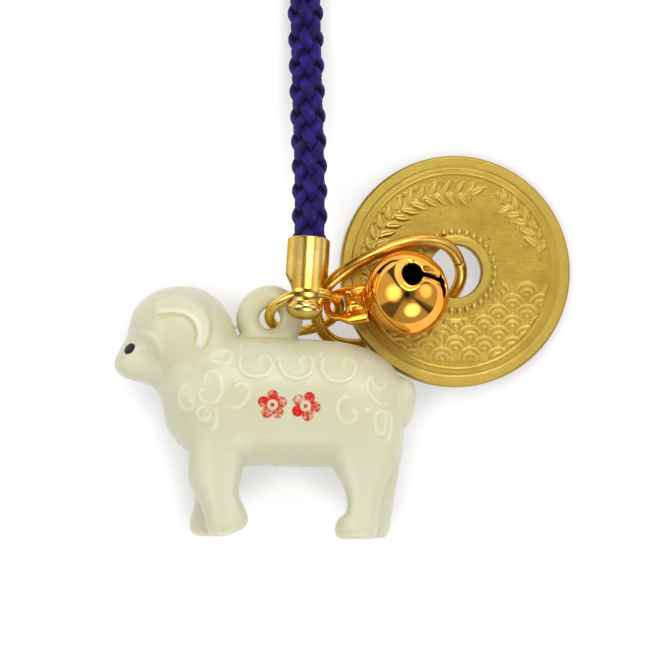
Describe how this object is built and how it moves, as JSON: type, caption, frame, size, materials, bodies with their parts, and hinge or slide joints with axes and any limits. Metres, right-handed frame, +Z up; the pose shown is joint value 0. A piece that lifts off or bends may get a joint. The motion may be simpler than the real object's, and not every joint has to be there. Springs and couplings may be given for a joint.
{
  "type": "zodiac netsuke charm",
  "caption": "Moulded sheep charm lying on its side, with a jump ring, a braided hand strap in a drawn end cap, a round bell, and an oval ring carrying a holed coin.",
  "frame": {"origin": "on the table, under the middle of everything but the cord", "axes": "+X from the sheep's nose to the coin, +Y from the sheep's hooves to the cord, +Z up from the table through the sheep's sides"},
  "size_m": [0.0432, 0.1219, 0.0119],
  "materials": {
    "ivory_resin": "semi-gloss",
    "ring_plate": "polished plate",
    "cap_plate": "drawn, satin",
    "braid": "round braid",
    "coin_brass": "struck, handled",
    "bell_plate": "mirror plate",
    "steel": "plain"
  },
  "bodies": {
    "sheep": {"sheep_figure": "ivory_resin"},
    "ring": {"jump_ring": "ring_plate"},
    "strap": {"cord_end_cap": "cap_plate", "cord_body": "braid", "cord_loop": "braid"},
    "oval": {"oval_ring": "ring_plate"},
    "coin_body": {"coin": "coin_brass"},
    "bell": {"bell_upper_shell": "bell_plate", "bell_lower_shell": "bell_plate", "bell_hanger": "bell_plate"},
    "pellet": {"bell_pellet": "steel"}
  },
  "joints": [
    {"name": "ring_swing", "type": "hinge", "parent": "sheep", "child": "ring", "pos_m": [-0.00479, 0.0029, 0.00528], "axis": [0, 1, 0], "range_deg": [0, 15]},
    {"name": "strap_swing", "type": "hinge", "parent": "ring", "child": "strap", "pos_m": [-0.0035, 0.0053, 0.0082], "axis": [0, 0, 1], "range_deg": [-8, 12]},
    {"name": "bell_swing", "type": "hinge", "parent": "ring", "child": "bell", "pos_m": [-0.0003, 0.00421, 0.00528], "axis": [0.165, -0.9863, 0], "range_deg": [0, 28]},
    {"name": "oval_swing", "type": "hinge", "parent": "ring", "child": "oval", "pos_m": [-0.0016, 0.0024, 0.0052], "axis": [0, 1, 0], "range_deg": [0, 30]},
    {"name": "coin_spin", "type": "hinge", "parent": "oval", "child": "coin_body", "pos_m": [0.01066, 0.00735, 0.00226], "axis": [0.1246, 0.06, 0.9904], "continuous": true},
    {"name": "pellet_roll", "type": "hinge", "parent": "bell", "child": "pellet", "pos_m": [0.00613, 0.00529, 0.00791], "axis": [0.9272, 0.155, 0.3411], "continuous": true}
  ]
}
